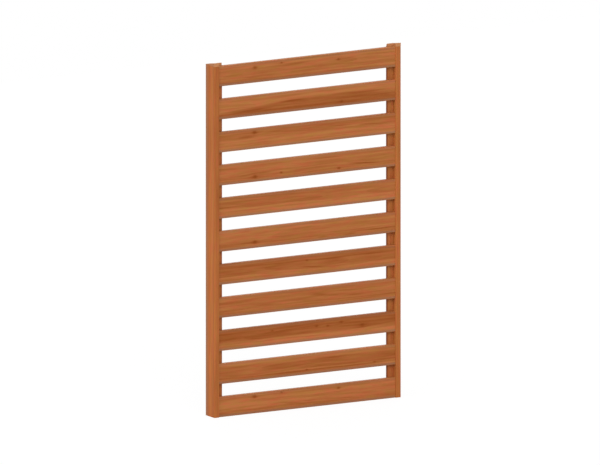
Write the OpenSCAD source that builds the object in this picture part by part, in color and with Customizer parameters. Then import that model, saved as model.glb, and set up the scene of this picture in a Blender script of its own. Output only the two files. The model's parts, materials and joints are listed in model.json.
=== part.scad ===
// Lattice panel: level boards between two upright stiles, screwed to battens from behind.
// X runs along the boards, Y from the front to the back, Z up. The origin is on the floor,
// under the middle of the panel. The left side is drawn, and the right side mirrors it.

/* [Panel] */
// Overall width across the outer faces of the two stiles
panel_w = 1083; // [700:1:1600]
// Rounding of the long edges of the stiles, slats and battens
arris_r = 2; // [0.5:0.5:4]

/* [Stiles] */
// Thickness of a stile, as seen from the front
stile_t = 29; // [20:0.5:40]
// Depth of a stile from front to back
stile_d = 88; // [70:1:120]

/* [Slats] */
// Height of a slat
slat_h = 104; // [80:1:140]
// Thickness of a slat
slat_t = 22; // [20:0.5:30]
// Open gap between two slats
slat_gap = 65.6; // [20:0.1:120]
// How far the slats lie behind the front edge of the stiles
slat_setback = 5; // [0:0.5:10]

/* [Battens] */
// Width of a batten, from the stile towards the middle of the panel
batten_w = 32; // [26:0.5:60]
// Thickness of a batten, behind the slats
batten_t = 18; // [15:0.5:25]

/* [Caps] */
// Height of a cap at its front edge
cap_front = 18; // [15:0.5:30]
// Height of a cap at its back edge
cap_back = 1.5; // [1:0.5:10]
// How far a cap stops short of the inner edge of the batten that it covers
cap_inset = 3; // [0:0.5:10]

/* [Screws] */
// Shank diameter of the wood screws
screw_d = 4; // [3:0.5:5]
// Head diameter of the wood screws
screw_head_d = 8; // [7:0.5:9]
// Height between the two screws in one slat end
screw_spacing = 50; // [30:1:60]
// Depth that a slat screw reaches into its slat
slat_bite = 17; // [10:1:18]
// Depth that a batten screw reaches into its stile
stile_bite = 16; // [10:1:18]

/* [Dowels] */
// Diameter of the dowels under the caps
dowel_d = 6; // [4:1:8]
// Depth of a dowel in its cap
dowel_in_cap = 6; // [4:0.5:6]
// Depth of a dowel in its stile
dowel_in_stile = 16; // [10:1:25]
// Distance from the front edge of the stile to the first dowel
dowel_inset = 15; // [10:1:18]
// Distance between the two dowels of a cap
dowel_spacing = 20; // [14:1:24]

/* [Clearances] */
// Gap round the shank and head of each screw
screw_clear = 0.1; // [0.05:0.05:0.3]
// Gap round each dowel
dowel_clear = 0.1; // [0.05:0.05:0.3]
// Gap past the point of a screw and at each end of a dowel
end_clear = 0.3; // [0.1:0.1:0.8]

/* [Hidden] */
$fn = 48;
// One node holds each slat, numbered from the top
slat_count = 11;
// A batten screw sits behind every second slat
batten_screw_step = 2;
// Point of a screw, and the cross cut in its head
screw_point_h = 6;
screw_point_r = 0.4;
recess_l = 4.4;
recess_w = 1.1;
recess_deep = 1.6;
// How far a cutting shape runs past the face it opens
overrun = 1;

stained = "#AA6537";
oiled_end = "#C38355";
steel = "#A8A6A0";
beech = "#D9B88C";

half_w = panel_w / 2;
front_y = -stile_d / 2;
slat_pitch = slat_h + slat_gap;
panel_h = slat_count * slat_h + (slat_count - 1) * slat_gap;
slat_len = panel_w - 2 * stile_t;
slat_front_y = front_y + slat_setback;
slat_back_y = slat_front_y + slat_t;
batten_back_y = slat_back_y + batten_t;
stile_inner_x = -half_w + stile_t;
batten_inner_x = stile_inner_x + batten_w;
cap_inner_x = batten_inner_x - cap_inset;
screw_r = screw_d / 2;
screw_head_r = screw_head_d / 2;
screw_head_h = screw_head_r - screw_r;
slat_screw_len = batten_t + slat_bite;
batten_screw_len = batten_w + stile_bite;
dowel_len = dowel_in_cap + dowel_in_stile;

// Height of the bottom edge, and of the middle, of slat n
function slat_z(n) = panel_h - slat_h - (n - 1) * slat_pitch;
function slat_mid_z(n) = slat_z(n) + slat_h / 2;
function slat_name(n) = str("slat_", n < 10 ? "0" : "", n);

// Where the heads of the left side's screws lie, and the lower ends of its dowels
slat_screw_heads = [for (n = [1:slat_count], up = [-1, 1])
    [stile_inner_x + batten_w / 2, batten_back_y, slat_mid_z(n) + up * screw_spacing / 2]];
batten_screw_heads = [for (n = [1:batten_screw_step:slat_count])
    [batten_inner_x, slat_back_y + batten_t / 2, slat_mid_z(n)]];
dowel_feet = [for (i = [0, 1])
    [-half_w + stile_t / 2, front_y + dowel_inset + i * dowel_spacing, panel_h - dowel_in_stile]];

SLAT_NODES = [for (n = [1:slat_count]) slat_name(n)];

// Cross-section of a board with its four long edges eased
module eased_section(a, b) {
    translate([arris_r, 0]) square([a - 2 * arris_r, b]);
    translate([0, arris_r]) square([a, b - 2 * arris_r]);
    for (x = [arris_r, a - arris_r], y = [arris_r, b - arris_r])
        translate([x, y]) circle(arris_r);
}

// Upright board, a along X and b along Y
module upright(a, b, h) {
    linear_extrude(h) eased_section(a, b);
}

// Level board, t along Y and h along Z
module level(len, t, h) {
    rotate([90, 0, 90]) linear_extrude(len) eased_section(t, h);
}

// Countersunk wood screw along +Z from the middle of its head, with a cross cut in the head
module screw(len) {
    difference() {
        rotate_extrude() polygon([
            [0, 0],
            [screw_head_r, 0],
            [screw_r, screw_head_h],
            [screw_r, len - screw_point_h],
            [screw_point_r, len],
            [0, len]]);
        for (turn = [0, 90])
            rotate(turn) cube([recess_l, recess_w, 2 * recess_deep], center = true);
    }
}

// Hole and countersink for a screw of the same length
module screw_hole(len) {
    r = screw_r + screw_clear;
    mouth_r = screw_head_r + screw_clear + overrun;
    rotate_extrude() polygon([
        [0, -overrun],
        [mouth_r, -overrun],
        [r, screw_head_h],
        [r, len + end_clear],
        [0, len + end_clear]]);
}

// Places what it is given at each slat screw, pointing to the front
module at_slat_screws() {
    for (p = slat_screw_heads) translate(p) rotate([90, 0, 0]) children();
}

// Places what it is given at each batten screw, pointing to the stile
module at_batten_screws() {
    for (p = batten_screw_heads) translate(p) rotate([0, -90, 0]) children();
}

// Bores for the dowels, in the stile below and the cap above
module dowel_bores() {
    for (p = dowel_feet) translate([p[0], p[1], p[2] - end_clear])
        cylinder(h = dowel_len + 2 * end_clear, d = dowel_d + 2 * dowel_clear);
}

module stile() {
    difference() {
        translate([-half_w, front_y, 0]) upright(stile_t, stile_d, panel_h);
        at_batten_screws() screw_hole(batten_screw_len);
        dowel_bores();
    }
}

module batten() {
    difference() {
        translate([stile_inner_x, slat_back_y, 0]) upright(batten_w, batten_t, panel_h);
        at_slat_screws() screw_hole(slat_screw_len);
        at_batten_screws() screw_hole(batten_screw_len);
    }
}

// Outline of a cap from above: the stile's end with an arm over the batten's end
module cap_outline() {
    translate([-half_w, front_y]) square([stile_t, stile_d]);
    translate([-half_w, slat_back_y]) square([cap_inner_x + half_w, batten_t]);
}

// Wedge that stands high at the front and thins to the back, so that rain runs off
module cap() {
    difference() {
        intersection() {
            translate([-half_w, front_y, panel_h]) rotate([90, 0, 90])
                linear_extrude(cap_inner_x + half_w)
                    polygon([[0, 0], [stile_d, 0], [stile_d, cap_back], [0, cap_front]]);
            linear_extrude(panel_h + cap_front + overrun) cap_outline();
        }
        dowel_bores();
    }
}

module cap_dowels() {
    for (p = dowel_feet) translate(p) cylinder(h = dowel_len, d = dowel_d);
}

module left_stile() { color(stained) stile(); }
module right_stile() { color(stained) mirror([1, 0, 0]) stile(); }
module left_batten() { color(stained) batten(); }
module right_batten() { color(stained) mirror([1, 0, 0]) batten(); }
module left_cap() { color(oiled_end) cap(); }
module right_cap() { color(oiled_end) mirror([1, 0, 0]) cap(); }

// Slat n with the screw holes at both of its ends
module slat(n) {
    color(stained) difference() {
        translate([stile_inner_x, slat_front_y, slat_z(n)]) level(slat_len, slat_t, slat_h);
        for (side = [0, 1], k = [2 * n - 2, 2 * n - 1])
            mirror([side, 0, 0]) translate(slat_screw_heads[k]) rotate([90, 0, 0])
                screw_hole(slat_screw_len);
    }
}

module left_slat_screws() { color(steel) at_slat_screws() screw(slat_screw_len); }
module right_slat_screws() { color(steel) mirror([1, 0, 0]) at_slat_screws() screw(slat_screw_len); }
module left_batten_screws() { color(steel) at_batten_screws() screw(batten_screw_len); }
module right_batten_screws() {
    color(steel) mirror([1, 0, 0]) at_batten_screws() screw(batten_screw_len);
}
module left_cap_dowels() { color(beech) cap_dowels(); }
module right_cap_dowels() { color(beech) mirror([1, 0, 0]) cap_dowels(); }

left_stile();
right_stile();
left_batten();
right_batten();
left_cap();
right_cap();
for (n = [1:slat_count]) slat(n);
left_slat_screws();
right_slat_screws();
left_batten_screws();
right_batten_screws();
left_cap_dowels();
right_cap_dowels();
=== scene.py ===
import json
import math

import bpy
from mathutils import Matrix, Vector

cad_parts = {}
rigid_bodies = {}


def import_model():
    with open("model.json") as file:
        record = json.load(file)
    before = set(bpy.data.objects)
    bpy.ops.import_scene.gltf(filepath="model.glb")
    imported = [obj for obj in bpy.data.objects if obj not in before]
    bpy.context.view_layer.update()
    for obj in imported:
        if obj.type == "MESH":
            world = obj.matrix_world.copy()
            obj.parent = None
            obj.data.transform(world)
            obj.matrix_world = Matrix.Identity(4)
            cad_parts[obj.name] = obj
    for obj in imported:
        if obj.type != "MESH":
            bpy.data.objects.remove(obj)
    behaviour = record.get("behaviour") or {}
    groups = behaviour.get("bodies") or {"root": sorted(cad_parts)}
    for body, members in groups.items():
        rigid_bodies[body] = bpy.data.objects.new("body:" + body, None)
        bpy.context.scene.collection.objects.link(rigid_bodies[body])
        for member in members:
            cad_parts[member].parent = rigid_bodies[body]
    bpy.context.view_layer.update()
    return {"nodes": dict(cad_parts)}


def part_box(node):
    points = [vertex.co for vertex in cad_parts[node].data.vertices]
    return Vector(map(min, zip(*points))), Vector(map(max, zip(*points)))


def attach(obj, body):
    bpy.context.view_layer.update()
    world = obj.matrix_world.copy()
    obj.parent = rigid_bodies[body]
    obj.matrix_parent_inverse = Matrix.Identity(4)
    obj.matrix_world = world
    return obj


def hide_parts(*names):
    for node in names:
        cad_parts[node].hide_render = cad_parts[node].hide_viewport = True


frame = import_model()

# The view of the photograph: a long lens from the front left, a little above the panel, so that
# level lines stay parallel. The middle of the panel's foot is placed by the pixel where it is seen.
IMAGE_W, IMAGE_H = 600, 465
METRES_PER_PIXEL = 0.00503
FOOT_U, FOOT_V = 303.23, 406.22
CAMERA_AZIMUTH = math.radians(-30)
CAMERA_ELEVATION = math.radians(11.2)
CAMERA_DISTANCE = 10

bpy.ops.object.select_all(action="DESELECT")
bpy.ops.object.camera_add(rotation=(math.pi / 2 - CAMERA_ELEVATION, 0, CAMERA_AZIMUTH))
camera = bpy.context.object
camera.data.type = "ORTHO"
camera.data.ortho_scale = IMAGE_W * METRES_PER_PIXEL
camera.data.clip_end = 4 * CAMERA_DISTANCE
seen_from = camera.rotation_euler.to_matrix()
camera.location = seen_from @ Vector((
    (IMAGE_W / 2 - FOOT_U) * METRES_PER_PIXEL,
    (FOOT_V - IMAGE_H / 2) * METRES_PER_PIXEL,
    CAMERA_DISTANCE))
bpy.context.scene.camera = camera
bpy.context.scene.view_settings.view_transform = "Standard"


# Floor and light of a white studio: matt pale paint under a wide soft lamp in front, one at the left
# and a weak one behind. The camera and reflections see plain white, and the shadow stays on the floor.
FLOOR_WIDTH = 16
FLOOR_PAINT = "#D2D2D2"
FLOOR_PAINT_SHARE = 0.12
FLOOR_GLOW = 0.93
ROOM_LIGHT = 0.57
# Each lamp's direction as seen from the panel, and its strength
LAMPS = {
    "front_lamp": ((-0.25, -0.80, 0.55), 1.30),
    "side_lamp": ((-0.90, -0.15, 0.40), 1.20),
    "back_lamp": ((0.50, 0.70, 0.50), 0.60)}
LAMP_SPREAD = math.radians(40)


def linear(colour):
    """The sRGB hex colour as the linear colour that a shader takes."""
    channels = [int(colour[i:i + 2], 16) / 255 for i in (1, 3, 5)]
    return [c / 12.92 if c <= 0.04045 else ((c + 0.055) / 1.055) ** 2.4 for c in channels] + [1]


def add(tree, kind, sockets=None, out=0, **settings):
    """Adds a shader node, fills its sockets with values or links, and gives one of its outputs."""
    node = tree.nodes.new("ShaderNode" + kind)
    for setting, value in settings.items():
        setattr(node, setting, value)
    for socket, value in (sockets or {}).items():
        if isinstance(value, bpy.types.NodeSocket):
            tree.links.new(value, node.inputs[socket])
        else:
            node.inputs[socket].default_value = value
    return node.outputs[out] if node.outputs else None


def seen_directly(tree):
    """1 for the rays that show a thing: the camera's, and those that a gloss or glass sends on."""
    camera_or_gloss = add(tree, "Math", {
        0: add(tree, "LightPath", out="Is Camera Ray"),
        1: add(tree, "LightPath", out="Is Glossy Ray")}, operation="MAXIMUM")
    return add(tree, "Math", {
        0: camera_or_gloss,
        1: add(tree, "LightPath", out="Is Transmission Ray")}, operation="MAXIMUM")


world = bpy.data.worlds.new("white_room")
world.use_nodes = True
world.node_tree.nodes.clear()
room_strength = add(world.node_tree, "Mix", {
    "Factor": seen_directly(world.node_tree), 2: ROOM_LIGHT, 3: 1.0}, data_type="FLOAT")
add(world.node_tree, "OutputWorld", {"Surface": add(world.node_tree, "Background", {
    "Color": linear("#FFFFFF"), "Strength": room_strength})})
bpy.context.scene.world = world

floor_paint = bpy.data.materials.new("matt_white_floor_paint")
floor_paint.use_nodes = True
floor_paint.node_tree.nodes.clear()
painted = add(floor_paint.node_tree, "BsdfDiffuse", {"Color": linear(FLOOR_PAINT)})
glowing = add(floor_paint.node_tree, "AddShader", {
    0: add(floor_paint.node_tree, "MixShader", {
        0: FLOOR_PAINT_SHARE,
        1: add(floor_paint.node_tree, "BsdfTransparent", {"Color": linear("#000000")}),
        2: painted}),
    1: add(floor_paint.node_tree, "Emission", {"Strength": FLOOR_GLOW})})
add(floor_paint.node_tree, "OutputMaterial", {"Surface": add(floor_paint.node_tree, "MixShader", {
    0: seen_directly(floor_paint.node_tree), 1: painted, 2: glowing})})

bpy.ops.mesh.primitive_plane_add(size=FLOOR_WIDTH)
floor = bpy.context.object
floor.name = "studio_floor"
floor.data.materials.append(floor_paint)

for lamp_name, (direction, strength) in LAMPS.items():
    bpy.ops.object.light_add(type="SUN", rotation=Vector(direction).to_track_quat("Z", "Y").to_euler())
    lamp = bpy.context.object
    lamp.name = lamp_name
    lamp.data.energy = strength
    lamp.data.angle = LAMP_SPREAD


# Stiles: two planed softwood boards stood on edge, which carry everything else. Their long edges are
# rounded by a cutter and their ends sanded. The stain is a warm orange brown, as on all the boards.
ARRIS_R = 0.002
ARRIS_STEPS = 4
END_ARRIS = 0.0006
END_ARRIS_STEPS = 2
ROUND_PROFILE = 0.5
SMOOTH_ANGLE = math.radians(35)
# An edge runs along a board past the first share of its direction, and across it below the second
LENGTHWISE, CROSSWISE = 0.9, 0.1
# The stain on wood that drinks little of it, on redder and on greener patches, on wood that drinks
# much, in a knot, a darker band along the rounded edges (painted shade on the slats' lower edges and
# the battens' corners at the gap), and in the cut ends
BOARD_STAIN = {
    "pale": "#B7713F", "red": "#C5603E", "green": "#A97632", "deep": "#924B1A", "knot": "#823E0A",
    "edge": "#90674D", "end": "#8A4E2A"}
# A year ring of quickly grown softwood, the part of it over which it darkens to late wood, and how far
# the grain wanders from a straight line
RING_WIDTH = 0.0048
LATE_WOOD = (0.2, 0.95)
WANDER = 0.014
# Each pattern's width across the grain, how far it is drawn out along it, its detail and roughness.
# A real fibre is far finer, and is drawn as coarse as it needs to show.
PATTERNS = {
    "drift": (0.080, 8, 1.0, 0.45),
    "ragged": (0.008, 1, 1.0, 0.50),
    "bands": (0.026, 50, 1.5, 0.50),
    "streaks": (0.010, 20, 3.0, 0.62),
    "fibres": (0.0034, 34, 2.0, 0.60),
    "blush": (0.015, 5, 2.0, 0.55)}
# How far a board's seed moves its patterns along and across, and how far one pattern is from the next
SEED_ALONG, SEED_ACROSS = 0.37, 0.11
PATTERN_APART = 1.3
# How deep the stain lies on average, and what each pattern adds to it
STAIN_DEPTH = 0.40
BAND_DEPTH = 0.9
STREAK_DEPTH = 1.1
RING_DEPTH = 0.20
FIBRE_DEPTH = 0.50
# The values at which a noise and the late wood add nothing, the depth at which the wood is as dark as
# a knot, and how strong the red and green patches are and how far from the middle they show in full
NOISE_MIDDLE = 0.5
LATE_MIDDLE = 0.45
KNOT_DARK = 1.9
BLUSH = 0.55
BLUSH_SPREAD = 0.2
# A knot's heart, the darker wood round it and its tails, as half length and half width in knot radii
# and as depth of stain
KNOT_HEART = (2.4, 1.9, 0.40)
KNOT_RIM = (4.4, 2.8, 0.40)
KNOT_TAILS = (10.0, 1.2, 0.22)
KNOT_RAGGEDNESS = (0.008, 0, 0.006)
# How much of the grain bends round a knot, its reach across the grain in knot radii, and how many
# times further that reach goes along it
KNOT_BEND = 0.6
KNOT_REACH = 4.0
KNOT_REACH_STRETCH = 2
# Within this share of its half size a mark has its full depth
MARK_FULL = 0.1
HEART_SOFTNESS = 0.007
# How far from the corner lines of a board the darker band reaches, and how strong it is at most along
# the two sides of the face. On the slats it is strongest along the lower one, as painted shade where
# the rounded edge turns down towards the floor. On the stiles it is strongest along the back.
SLAT_EDGE = (0.018, 0.88, 0.40)
STILE_EDGE = (0.036, 0.10, 0.80)
EDGE_FULL = 0.003
# Half the width of the strip along a board's middle where one side's strength turns into the other's
EDGE_TURN = 0.01
# Between these distances from the corner line the darker band sets in. The corner line itself is left
# without it.
EDGE_SETS_IN = (0.0015, 0.0045)
# How much of the end's colour a cut end has, and how squarely a face points along to count as one
END_SHARE = 0.6
END_FACING = (0.6, 0.95)
# How high the hard late wood and the fibres stand, and how strongly that shows
GRAIN_RELIEF = 0.0002
GRAIN_RELIEF_STRENGTH = 0.35
EARLY_ROUGHNESS, LATE_ROUGHNESS = 0.63, 0.51
PINE_IOR = 1.5
# The stain dries matt and open pored, so the surface gives back less than a polished one
PINE_SPECULAR = 0.12


def stained_pine(name, low, high, along, through, across, seed, stain=BOARD_STAIN, edge=STILE_EDGE,
                 tone=0.0, darker_sides=0.0, pith=(0.075, 0.008), heart=(0.0, 0.0, 0.0, 0.0), lines=(),
                 knots=()):
    """Planed softwood under a thin oil stain: streaks along the board, year rings as solid shells round
    a pith behind its face, dark lines and knots. Darker sides is the extra depth on its narrow sides,
    which on the battens is painted shade for the recess behind the slats. Heart is the height, slope
    and bow of the line past which the heartwood drinks more, and how much: above it, or below it where
    negative. Lines run between two points and are (along, across, along, across, half width, depth),
    and knots are (along, across, radius), in metres."""
    material = bpy.data.materials.new("stained_pine_" + name)
    material.use_nodes = True
    tree = material.node_tree
    tree.nodes.clear()
    board = add(tree, "Mapping", {
        "Vector": add(tree, "TexCoord", out="Object"),
        "Location": (low + high) / 2,
        "Rotation": Matrix((along, through, across)).transposed().to_euler(),
    }, vector_type="TEXTURE")

    # The grain drifts slowly up and down along the board, and bends round each knot
    width, stretch, detail, roughness = PATTERNS["drift"]
    drawn_out = add(tree, "VectorMath", {
        0: board, 1: (1 / stretch, 1, 1),
        2: (SEED_ALONG * seed, 0, SEED_ACROSS * seed)}, operation="MULTIPLY_ADD")
    drift = add(tree, "TexNoise", {
        "Vector": drawn_out, "Scale": 1 / width, "Detail": detail, "Roughness": roughness}, out="Color")
    grain = add(tree, "VectorMath", {
        0: add(tree, "VectorMath", {0: drift, 1: [NOISE_MIDDLE] * 3}, operation="SUBTRACT"),
        1: (0, WANDER, WANDER), 2: board}, operation="MULTIPLY_ADD")
    width, stretch, detail, roughness = PATTERNS["ragged"]
    ragged = add(tree, "VectorMath", {
        0: add(tree, "VectorMath", {
            0: add(tree, "TexNoise", {
                "Vector": board, "Scale": 1 / width, "Detail": detail, "Roughness": roughness},
                out="Color"),
            1: [NOISE_MIDDLE] * 3}, operation="SUBTRACT"),
        1: KNOT_RAGGEDNESS, 2: board}, operation="MULTIPLY_ADD")
    marks = []
    for knot_along, knot_across, radius in knots:
        offset = add(tree, "VectorMath", {
            0: board, 1: (knot_along, 0, knot_across)}, operation="SUBTRACT")
        distance = add(tree, "VectorMath", {0: add(tree, "VectorMath", {
            0: offset, 1: (1 / (KNOT_REACH_STRETCH * radius), 0, 1 / radius)}, operation="MULTIPLY")},
            out="Value", operation="LENGTH")
        bend = add(tree, "MapRange", {
            "Value": distance, 1: KNOT_REACH, 2: 0.0, 3: 0.0, 4: -KNOT_BEND},
            interpolation_type="SMOOTHSTEP")
        grain = add(tree, "VectorMath", {
            0: add(tree, "VectorMath", {0: offset, "Scale": bend}, operation="SCALE"),
            1: (0, 0, 1), 2: grain}, operation="MULTIPLY_ADD")
        marks += [(ragged, knot_along, knot_across, 0, half_length * radius, half_width * radius, depth)
                  for half_length, half_width, depth in (KNOT_HEART, KNOT_RIM, KNOT_TAILS)]
    for from_along, from_across, to_along, to_across, half_width, depth in lines:
        run, rise = to_along - from_along, to_across - from_across
        marks.append((
            grain, from_along + run / 2, from_across + rise / 2, math.atan2(rise, run),
            math.hypot(run, rise) / 2, half_width, depth))

    # Every mark is a spindle of darker wood, or of lighter where its depth is negative. A knot's marks
    # lie on the ragged ground, and a line's on the grain.
    marked = 0.0
    for ground, mark_along, mark_across, tilt, half_length, half_width, depth in marks:
        distance = add(tree, "VectorMath", {0: add(tree, "Mapping", {
            "Vector": ground, "Location": (mark_along, 0, mark_across), "Rotation": (0, -tilt, 0),
            "Scale": (half_length, 1, half_width)}, vector_type="TEXTURE")},
            out="Value", operation="LENGTH")
        marked = add(tree, "Math", {0: marked, 1: add(tree, "MapRange", {
            "Value": distance, 1: 1.0, 2: MARK_FULL, 3: 0.0, 4: depth},
            interpolation_type="SMOOTHSTEP")}, operation="ADD")

    shown = {}
    for shift, pattern in enumerate(("bands", "streaks", "fibres", "blush")):
        width, stretch, detail, roughness = PATTERNS[pattern]
        shown[pattern] = add(tree, "TexNoise", {
            "Vector": add(tree, "VectorMath", {
                0: grain, 1: (1 / stretch, 1, 1),
                2: (SEED_ALONG * seed, PATTERN_APART * shift, SEED_ACROSS * seed)},
                operation="MULTIPLY_ADD"),
            "Scale": 1 / width, "Detail": detail, "Roughness": roughness})
    shell = add(tree, "VectorMath", {0: add(tree, "VectorMath", {
        0: add(tree, "VectorMath", {0: grain, 1: (0, pith[0], pith[1])}, operation="SUBTRACT"),
        1: (0, 1, 1)}, operation="MULTIPLY")}, out="Value", operation="LENGTH")
    year = add(tree, "Math", {
        0: add(tree, "Math", {0: shell, 1: RING_WIDTH}, operation="DIVIDE")}, operation="FRACT")
    # Each ring darkens slowly towards its hard late wood and ends sharply
    late = add(tree, "MapRange", {
        "Value": year, 1: LATE_WOOD[0], 2: LATE_WOOD[1], 3: 0.0, 4: 1.0},
        interpolation_type="SMOOTHSTEP")

    # Heartwood starts at a line across the board, which rises and bows as given
    place_along, place_across = (add(tree, "SeparateXYZ", {0: grain}, out=axis) for axis in ("X", "Z"))
    heart_height, heart_slope, heart_bow, heart_depth = heart
    heart_rise = add(tree, "Math", {
        0: place_along, 1: heart_bow, 2: heart_slope}, operation="MULTIPLY_ADD")
    heart_line = add(tree, "Math", {
        0: place_along, 1: heart_rise, 2: heart_height}, operation="MULTIPLY_ADD")
    in_heart = add(tree, "MapRange", {
        "Value": add(tree, "Math", {0: place_across, 1: heart_line}, operation="SUBTRACT"),
        1: -HEART_SOFTNESS, 2: HEART_SOFTNESS,
        3: max(-heart_depth, 0), 4: max(heart_depth, 0)}, interpolation_type="SMOOTHSTEP")

    facing_along, facing_across = (
        add(tree, "Math", {0: add(tree, "VectorMath", {
            0: add(tree, "TexCoord", out="Normal"), 1: axis}, out="Value", operation="DOT_PRODUCT")},
            operation="ABSOLUTE") for axis in (along, across))
    depth = add(tree, "Math", {0: in_heart, 1: marked}, operation="ADD")
    # The narrow sides take extra depth, which on the battens is painted shade in the recess behind the
    # slats
    depth = add(tree, "Math", {0: facing_across, 1: darker_sides, 2: depth}, operation="MULTIPLY_ADD")
    for value, middle, gain in (
            (shown["bands"], NOISE_MIDDLE, BAND_DEPTH), (shown["streaks"], NOISE_MIDDLE, STREAK_DEPTH),
            (late, LATE_MIDDLE, RING_DEPTH), (shown["fibres"], NOISE_MIDDLE, FIBRE_DEPTH)):
        depth = add(tree, "Math", {0: value, 1: gain, 2: add(tree, "Math", {
            0: depth, 1: middle * gain}, operation="SUBTRACT")}, operation="MULTIPLY_ADD")
    depth = add(tree, "Math", {0: depth, 1: STAIN_DEPTH + tone}, operation="ADD")

    # The colour darkens in a band along the rounded edges, which is painted shade on the slats' lower
    # edges and the battens' corners at the gap, and the cut ends drink more stain
    half = (high - low) / 2
    half_size = [abs(half.dot(Vector(axis))) for axis in (along, through, across)]
    inside = add(tree, "VectorMath", {
        0: (0, half_size[1], half_size[2]),
        1: add(tree, "VectorMath", {0: board}, operation="ABSOLUTE")}, operation="SUBTRACT")
    from_edge = add(tree, "VectorMath", {0: add(tree, "VectorMath", {
        0: inside, 1: (0, 1, 1)}, operation="MULTIPLY")}, out="Value", operation="LENGTH")
    edge_reach, low_share, high_share = edge
    edge_share = add(tree, "MapRange", {
        "Value": place_across, 1: -EDGE_TURN, 2: EDGE_TURN, 3: low_share, 4: high_share})
    at_edge = add(tree, "Math", {
        0: add(tree, "MapRange", {
            "Value": from_edge, 1: edge_reach, 2: EDGE_FULL, 3: 0.0, 4: edge_share},
            interpolation_type="SMOOTHSTEP"),
        1: add(tree, "MapRange", {
            "Value": from_edge, 1: EDGE_SETS_IN[0], 2: EDGE_SETS_IN[1], 3: 0.0, 4: 1.0})},
        operation="MULTIPLY")
    on_end = add(tree, "MapRange", {
        "Value": facing_along, 1: END_FACING[0], 2: END_FACING[1], 3: 0.0, 4: END_SHARE},
        interpolation_type="SMOOTHSTEP")

    colour = linear(stain["pale"])
    for share, none_at, full_at, amount, shade in (
            (shown["blush"], NOISE_MIDDLE, NOISE_MIDDLE + BLUSH_SPREAD, BLUSH, "red"),
            (shown["blush"], NOISE_MIDDLE, NOISE_MIDDLE - BLUSH_SPREAD, BLUSH, "green"),
            (depth, 0.0, 1.0, 1.0, "deep"), (depth, 1.0, KNOT_DARK, 1.0, "knot"),
            (at_edge, 0.0, 1.0, 1.0, "edge"), (on_end, 0.0, 1.0, 1.0, "end")):
        colour = add(tree, "Mix", {
            0: add(tree, "MapRange", {"Value": share, 1: none_at, 2: full_at, 3: 0.0, 4: amount}),
            6: colour, 7: linear(stain[shade])}, out=2, data_type="RGBA")

    relief = add(tree, "Math", {0: shown["fibres"], 1: late}, operation="ADD")
    bumped = add(tree, "Bump", {
        "Strength": GRAIN_RELIEF_STRENGTH, "Distance": GRAIN_RELIEF, "Height": relief})
    roughness = add(tree, "MapRange", {
        "Value": late, 1: 0.0, 2: 1.0, 3: EARLY_ROUGHNESS, 4: LATE_ROUGHNESS})
    shader = add(tree, "BsdfPrincipled", {
        "Base Color": colour, "Roughness": roughness, "IOR": PINE_IOR,
        "Specular IOR Level": PINE_SPECULAR, "Normal": bumped})
    add(tree, "OutputMaterial", {"Surface": shader})
    return material


def shade_by_area(piece):
    """Smooth shading over the rounded edges that leaves the large faces beside them flat."""
    bpy.ops.object.shade_smooth_by_angle(angle=SMOOTH_ANGLE)
    flatten = piece.modifiers.new("flatten", "WEIGHTED_NORMAL")
    flatten.keep_sharp = True
    bpy.ops.object.modifier_apply(modifier=flatten.name)


def planed_board(name, low, high, along):
    """Board between two corners: a cube stretched to size, its long edges rounded, its ends sanded."""
    bpy.ops.object.select_all(action="DESELECT")
    bpy.ops.mesh.primitive_cube_add(size=1, location=(low + high) / 2, scale=high - low)
    piece = bpy.context.object
    piece.name = name
    bpy.ops.object.transform_apply(location=True, rotation=True, scale=True)
    mesh = piece.data
    bpy.context.tool_settings.mesh_select_mode = (False, True, False)
    for lengthwise, width, steps in (
            (True, ARRIS_R, ARRIS_STEPS), (False, END_ARRIS, END_ARRIS_STEPS)):
        bpy.ops.object.mode_set(mode="EDIT")
        bpy.ops.mesh.select_all(action="DESELECT")
        bpy.ops.object.mode_set(mode="OBJECT")
        for edge in mesh.edges:
            start, end = (mesh.vertices[v].co for v in edge.vertices)
            direction = abs((end - start).normalized().dot(along))
            edge.select = direction > LENGTHWISE if lengthwise else direction < CROSSWISE
        bpy.ops.object.mode_set(mode="EDIT")
        bpy.ops.mesh.bevel(offset=width, segments=steps, profile=ROUND_PROFILE, affect="EDGES")
    bpy.ops.mesh.normals_make_consistent(inside=False)
    bpy.ops.object.mode_set(mode="OBJECT")
    shade_by_area(piece)
    return piece


X, Y, Z = (Vector(axis) for axis in ((1, 0, 0), (0, 1, 0), (0, 0, 1)))

STILE_STAIN = BOARD_STAIN | {"pale": "#BA6D35", "green": "#B07434"}
# On the left one the colour is darker in a narrow line down the outer side, just behind the front
# corner
STILE_FIGURES = {
    "left": dict(seed=21, tone=-0.04, lines=((-2.0, -0.0395, 2.0, -0.0395, 0.0045, 0.80),)),
    "right": dict(seed=34, tone=-0.16)}

for side, figure in STILE_FIGURES.items():
    low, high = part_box(side + "_stile")
    stile = planed_board(side + "_stile_board", low, high, Z)
    stile.data.materials.append(stained_pine(
        side + "_stile", low, high, Z, X, Y, stain=STILE_STAIN, pith=(0.11, 0.01), **figure))
    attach(stile, "root")
    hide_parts(side + "_stile")


# Battens: softwood strips behind the slats, one against each stile and screwed to it. They stay as the
# frame has them, with their countersunk holes. The stain is the same, with painted shade on their
# narrow sides, which sit in the recess behind the slats.
# The edge colour is the darker, redder brown of the painted shade in that recess
BATTEN_STAIN = BOARD_STAIN | {"edge": "#86491E"}
# Painted shade darkens the corner at the gap, deep in the recess behind the slats, more than the one at
# the stile
BATTEN_FIGURES = {
    "left": dict(seed=45, tone=0.06, edge=(0.006, 0.10, 0.45)),
    "right": dict(seed=52, tone=-0.04, edge=(0.006, 0.45, 0.0))}

for side, figure in BATTEN_FIGURES.items():
    low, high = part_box(side + "_batten")
    batten = frame["nodes"][side + "_batten"]
    batten.data.materials.clear()
    batten.data.materials.append(stained_pine(
        side + "_batten", low, high, Z, -Y, X, stain=BATTEN_STAIN, darker_sides=0.95, pith=(0.05, 0.03),
        **figure))


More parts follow.
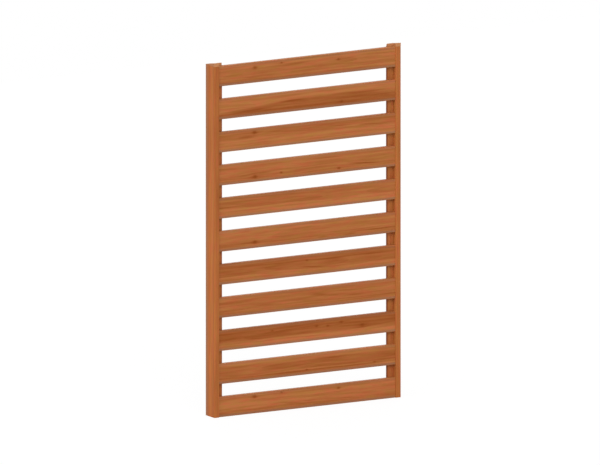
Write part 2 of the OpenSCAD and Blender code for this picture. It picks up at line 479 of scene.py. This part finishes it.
# Slats: eleven level boards between the stiles, screwed from behind through the battens. All are cut
# alike from plain-sawn stock, and each has its own figure of streaks, knots and heartwood.
SLAT_FIGURES = (
    dict(seed=1, tone=-0.17, heart=(-0.030, 0, 0, -0.22),
         lines=((-0.60, 0.046, 0.60, 0.042, 0.006, 0.30), (-0.20, 0.016, 0.02, 0.024, 0.005, 0.22),
                (0.16, 0.014, 0.32, 0.026, 0.006, 0.25)),
         knots=((-0.303, 0.026, 0.006), (-0.148, 0.035, 0.003), (0.182, 0.020, 0.0042))),
    dict(seed=2, tone=-0.30, heart=(0.012, 0.038, -0.065, -0.62),
         lines=((-0.46, -0.030, -0.17, -0.016, 0.008, 0.30), (-0.19, 0.002, 0.02, 0.006, 0.006, 0.45),
                (0.14, -0.030, 0.34, -0.033, 0.006, 0.22), (-0.03, -0.010, 0.14, -0.004, 0.008, -0.22),
                (0.36, 0.004, 0.72, -0.004, 0.030, -0.40)),
         knots=((0.200, -0.028, 0.004),)),
    dict(seed=3, tone=-0.22, heart=(0.002, 0.004, 0, 0.30),
         lines=((-0.43, 0.008, -0.27, 0.016, 0.012, 0.40), (-0.28, 0.029, 0.04, 0.014, 0.005, 0.40),
                (0.08, 0.024, 0.30, 0.016, 0.005, 0.45), (0.24, 0.018, 0.47, 0.005, 0.005, 0.40)),
         knots=((-0.305, 0.033, 0.006),)),
    dict(seed=4, tone=-0.10, lines=(
        (-0.50, -0.020, -0.12, -0.006, 0.007, 0.42), (-0.02, 0.036, 0.26, 0.027, 0.006, 0.50),
        (0.20, -0.007, 0.46, -0.026, 0.005, 0.60), (-0.10, -0.014, 0.22, -0.010, 0.008, 0.35)),
         knots=((-0.303, -0.025, 0.006), (-0.150, -0.019, 0.003), (0.184, -0.030, 0.004))),
    dict(seed=5, tone=-0.27, heart=(-0.011, 0, 0, 0.37),
         lines=((-0.62, -0.001, -0.34, 0.003, 0.006, 0.35), (-0.42, 0.005, -0.12, 0.004, 0.008, 0.30),
                (0.34, 0.006, 0.66, 0.002, 0.016, -0.35)), knots=()),
    dict(seed=6, tone=-0.12, heart=(-0.014, 0, 0, -0.26),
         lines=((0.30, -0.026, 0.54, -0.018, 0.006, 0.30), (-0.44, -0.016, -0.22, -0.030, 0.006, 0.12),
                (0.04, -0.036, 0.14, -0.034, 0.007, 0.30), (0.20, -0.034, 0.30, -0.033, 0.007, 0.30)),
         knots=((-0.303, -0.021, 0.005),)),
    dict(seed=7, tone=0.0, heart=(-0.014, 0, 0, 0.24),
         lines=((-0.60, 0.027, 0.10, 0.025, 0.006, 0.34), (-0.02, 0.024, 0.34, 0.024, 0.006, 0.36),
                (0.18, 0.026, 0.60, 0.018, 0.006, 0.30), (-0.08, 0.002, 0.14, -0.021, 0.005, 0.42),
                (0.06, -0.018, 0.26, -0.018, 0.005, 0.38)),
         knots=((-0.002, 0.025, 0.0026),)),
    dict(seed=8, tone=-0.02, lines=(
        (-0.60, 0.016, -0.28, 0.018, 0.010, 0.32), (0.00, 0.016, 0.14, 0.010, 0.010, 0.36),
        (0.20, -0.002, 0.36, -0.012, 0.006, 0.32), (0.14, 0.024, 0.36, 0.014, 0.006, 0.26),
        (-0.34, -0.004, -0.12, -0.014, 0.010, 0.28)), knots=()),
    dict(seed=9, tone=-0.11, heart=(-0.014, 0, 0, 0.50),
         lines=((-0.60, 0.000, -0.34, 0.002, 0.006, 0.26), (0.14, 0.010, 0.36, 0.000, 0.006, 0.26)),
         knots=((-0.202, 0.022, 0.003), (0.055, 0.021, 0.0035), (0.120, 0.017, 0.003),
                (0.199, 0.029, 0.004), (0.320, 0.001, 0.005))),
    dict(seed=10, tone=-0.17, heart=(0.029, 0, 0, -0.36),
         lines=((-0.60, -0.032, 0.60, -0.030, 0.006, 0.36), (-0.56, -0.012, -0.34, -0.024, 0.007, 0.26),
                (0.06, 0.024, 0.24, 0.018, 0.006, 0.22)),
         knots=((-0.001, -0.027, 0.0026), (0.390, -0.025, 0.003))),
    dict(seed=11, tone=-0.10, heart=(-0.024, 0, 0, -0.12),
         lines=((-0.20, -0.006, 0.02, -0.030, 0.005, 0.30), (0.20, -0.020, 0.34, -0.034, 0.005, 0.24),
                (0.00, -0.038, 0.14, -0.040, 0.006, 0.30)),
         knots=((-0.305, 0.035, 0.006), (-0.150, 0.042, 0.0033), (0.182, 0.031, 0.0046))),
)

first_low, first_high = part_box("slat_01")
first_slat = planed_board("slat_board_01", first_low, first_high, X)
# All the copies are taken before the first slat rides on the body
for number, figure in enumerate(SLAT_FIGURES, 1):
    node = f"slat_{number:02d}"
    low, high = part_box(node)
    slat = first_slat
    if number > 1:
        slat = first_slat.copy()
        slat.data = first_slat.data.copy()
        slat.name = f"slat_board_{number:02d}"
        slat.data.transform(Matrix.Translation(low - first_low))
        slat.data.materials.clear()
        bpy.context.collection.objects.link(slat)
    slat.data.materials.append(stained_pine(node, low, high, X, Y, Z, edge=SLAT_EDGE, **figure))
    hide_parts(node)
for number in range(1, len(SLAT_FIGURES) + 1):
    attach(bpy.data.objects[f"slat_board_{number:02d}"], "root")


# Screws: countersunk wood screws with a cross cut in the head, cold-headed from wire and zinc plated,
# which gives a pale satin grey. They stay as the frame has them.
ZINC = "#B9B8B4"
ZINC_DULL = "#8F8F8C"
# The roughness of the bright and of the dull finish, and the noise values between which it turns
ZINC_ROUGHNESS = (0.26, 0.42)
ZINC_TURN = (0.3, 0.7)
ZINC_CLOUD = 0.0015
ZINC_CLOUD_DETAIL = 2.0

zinc = bpy.data.materials.new("zinc_plated_steel")
zinc.use_nodes = True
zinc.node_tree.nodes.clear()
clouds = add(zinc.node_tree, "TexNoise", {
    "Vector": add(zinc.node_tree, "TexCoord", out="Object"),
    "Scale": 1 / ZINC_CLOUD, "Detail": ZINC_CLOUD_DETAIL})
add(zinc.node_tree, "OutputMaterial", {"Surface": add(zinc.node_tree, "BsdfPrincipled", {
    "Base Color": add(zinc.node_tree, "Mix", {
        0: clouds, 6: linear(ZINC), 7: linear(ZINC_DULL)}, out=2, data_type="RGBA"),
    "Metallic": 1.0,
    "Roughness": add(zinc.node_tree, "MapRange", {
        "Value": clouds, 1: ZINC_TURN[0], 2: ZINC_TURN[1],
        3: ZINC_ROUGHNESS[0], 4: ZINC_ROUGHNESS[1]})})})
for side in ("left", "right"):
    for group in ("_slat_screws", "_batten_screws"):
        screws = frame["nodes"][side + group]
        screws.data.materials.clear()
        screws.data.materials.append(zinc)


# Dowels: plain turned beech pins, two under each cap, half in the stile and half in the cap. Beech is
# pale and even, with short dark flecks along its grain.
BEECH = "#D9B88C"
BEECH_FLECK = "#B98F62"
BEECH_ROUGHNESS = 0.55
BEECH_IOR = 1.5
# A fleck's width, how many times longer it is, its detail, and the noise values between which it shows
FLECK_WIDTH = 0.0006
FLECK_STRETCH = 5
FLECK_DETAIL = 3.0
FLECK_SHOWS = (0.5, 0.75)

beech = bpy.data.materials.new("turned_beech")
beech.use_nodes = True
beech.node_tree.nodes.clear()
flecks = add(beech.node_tree, "TexNoise", {
    "Vector": add(beech.node_tree, "Mapping", {
        "Vector": add(beech.node_tree, "TexCoord", out="Object"),
        "Scale": (1, 1, 1 / FLECK_STRETCH)}),
    "Scale": 1 / FLECK_WIDTH, "Detail": FLECK_DETAIL})
fleck_share = add(beech.node_tree, "MapRange", {
    "Value": flecks, 1: FLECK_SHOWS[0], 2: FLECK_SHOWS[1], 3: 0.0, 4: 1.0})
add(beech.node_tree, "OutputMaterial", {"Surface": add(beech.node_tree, "BsdfPrincipled", {
    "Base Color": add(beech.node_tree, "Mix", {
        0: fleck_share, 6: linear(BEECH), 7: linear(BEECH_FLECK)}, out=2, data_type="RGBA"),
    "Roughness": BEECH_ROUGHNESS, "IOR": BEECH_IOR})})
for side in ("left", "right"):
    dowels = frame["nodes"][side + "_cap_dowels"]
    dowels.data.materials.clear()
    dowels.data.materials.append(beech)


# Caps: a short wedge on top of each stile, high at the front and thin at the back, with an arm over the
# end of the batten. They shed rain from the end grain below. Each is cut from paler wood, glued on its
# two dowels and sanded all round.
CAP_ARRIS = 0.0005
CAP_ARRIS_STEPS = 3
# Height of the back edge
CAP_BACK = 0.0015
# How squarely the inner side's normal points inward, and the angle below which two faces are one
INNER_SIDE = 0.9
FLAT_ANGLE = math.radians(1)
CAP_STAIN = {
    "pale": "#C98C5C", "red": "#C98058", "green": "#BC8A56", "deep": "#A46840", "knot": "#7E4C30",
    "edge": "#9A745E", "end": "#C08458"}
CAP_EDGE = (0.008, 0.6, 0.6)

for side, inward, seed in (("left", 1, 61), ("right", -1, 73)):
    low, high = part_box(side + "_cap")
    stile_low, stile_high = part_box(side + "_stile")
    arm_low, arm_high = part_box(side + "_batten")
    arm_length = high.x - low.x - (stile_high.x - stile_low.x)
    bpy.ops.object.select_all(action="DESELECT")
    bpy.ops.mesh.primitive_cube_add(
        size=1, location=((stile_low.x + stile_high.x) / 2, (low.y + high.y) / 2, (low.z + high.z) / 2),
        scale=(stile_high.x - stile_low.x, high.y - low.y, high.z - low.z))
    cap = bpy.context.object
    cap.name = side + "_cap_wedge"
    bpy.ops.object.transform_apply(location=True, rotation=True, scale=True)
    bpy.context.tool_settings.mesh_select_mode = (False, False, True)
    bpy.ops.object.mode_set(mode="EDIT")
    for y in (arm_low.y, arm_high.y):
        bpy.ops.mesh.select_all(action="SELECT")
        bpy.ops.mesh.bisect(plane_co=(0, y, 0), plane_no=(0, 1, 0))
    bpy.ops.mesh.select_all(action="DESELECT")
    bpy.ops.object.mode_set(mode="OBJECT")
    for face in cap.data.polygons:
        face.select = (
            face.normal.x * inward > INNER_SIDE and arm_low.y < face.center.y < arm_high.y)
    bpy.ops.object.mode_set(mode="EDIT")
    bpy.ops.mesh.extrude_region_move(TRANSFORM_OT_translate={"value": (inward * arm_length, 0, 0)})
    bpy.ops.object.mode_set(mode="OBJECT")
    fall = (high.z - low.z - CAP_BACK) / (high.y - low.y)
    for corner in cap.data.vertices:
        if corner.co.z > (low.z + high.z) / 2:
            corner.co.z = high.z - fall * (corner.co.y - low.y)
    bpy.ops.object.mode_set(mode="EDIT")
    bpy.ops.mesh.select_all(action="SELECT")
    bpy.ops.mesh.dissolve_limited(angle_limit=FLAT_ANGLE)
    bpy.ops.mesh.select_all(action="SELECT")
    bpy.ops.mesh.bevel(
        offset=CAP_ARRIS, segments=CAP_ARRIS_STEPS, profile=ROUND_PROFILE, affect="EDGES")
    bpy.ops.mesh.normals_make_consistent(inside=False)
    bpy.ops.object.mode_set(mode="OBJECT")
    shade_by_area(cap)
    cap.data.materials.append(stained_pine(
        side + "_cap", low, high, Y, Z, X, seed, CAP_STAIN, CAP_EDGE, tone=-0.1, darker_sides=0.4,
        pith=(0.04, 0.01)))
    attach(cap, "root")
    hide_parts(side + "_cap")
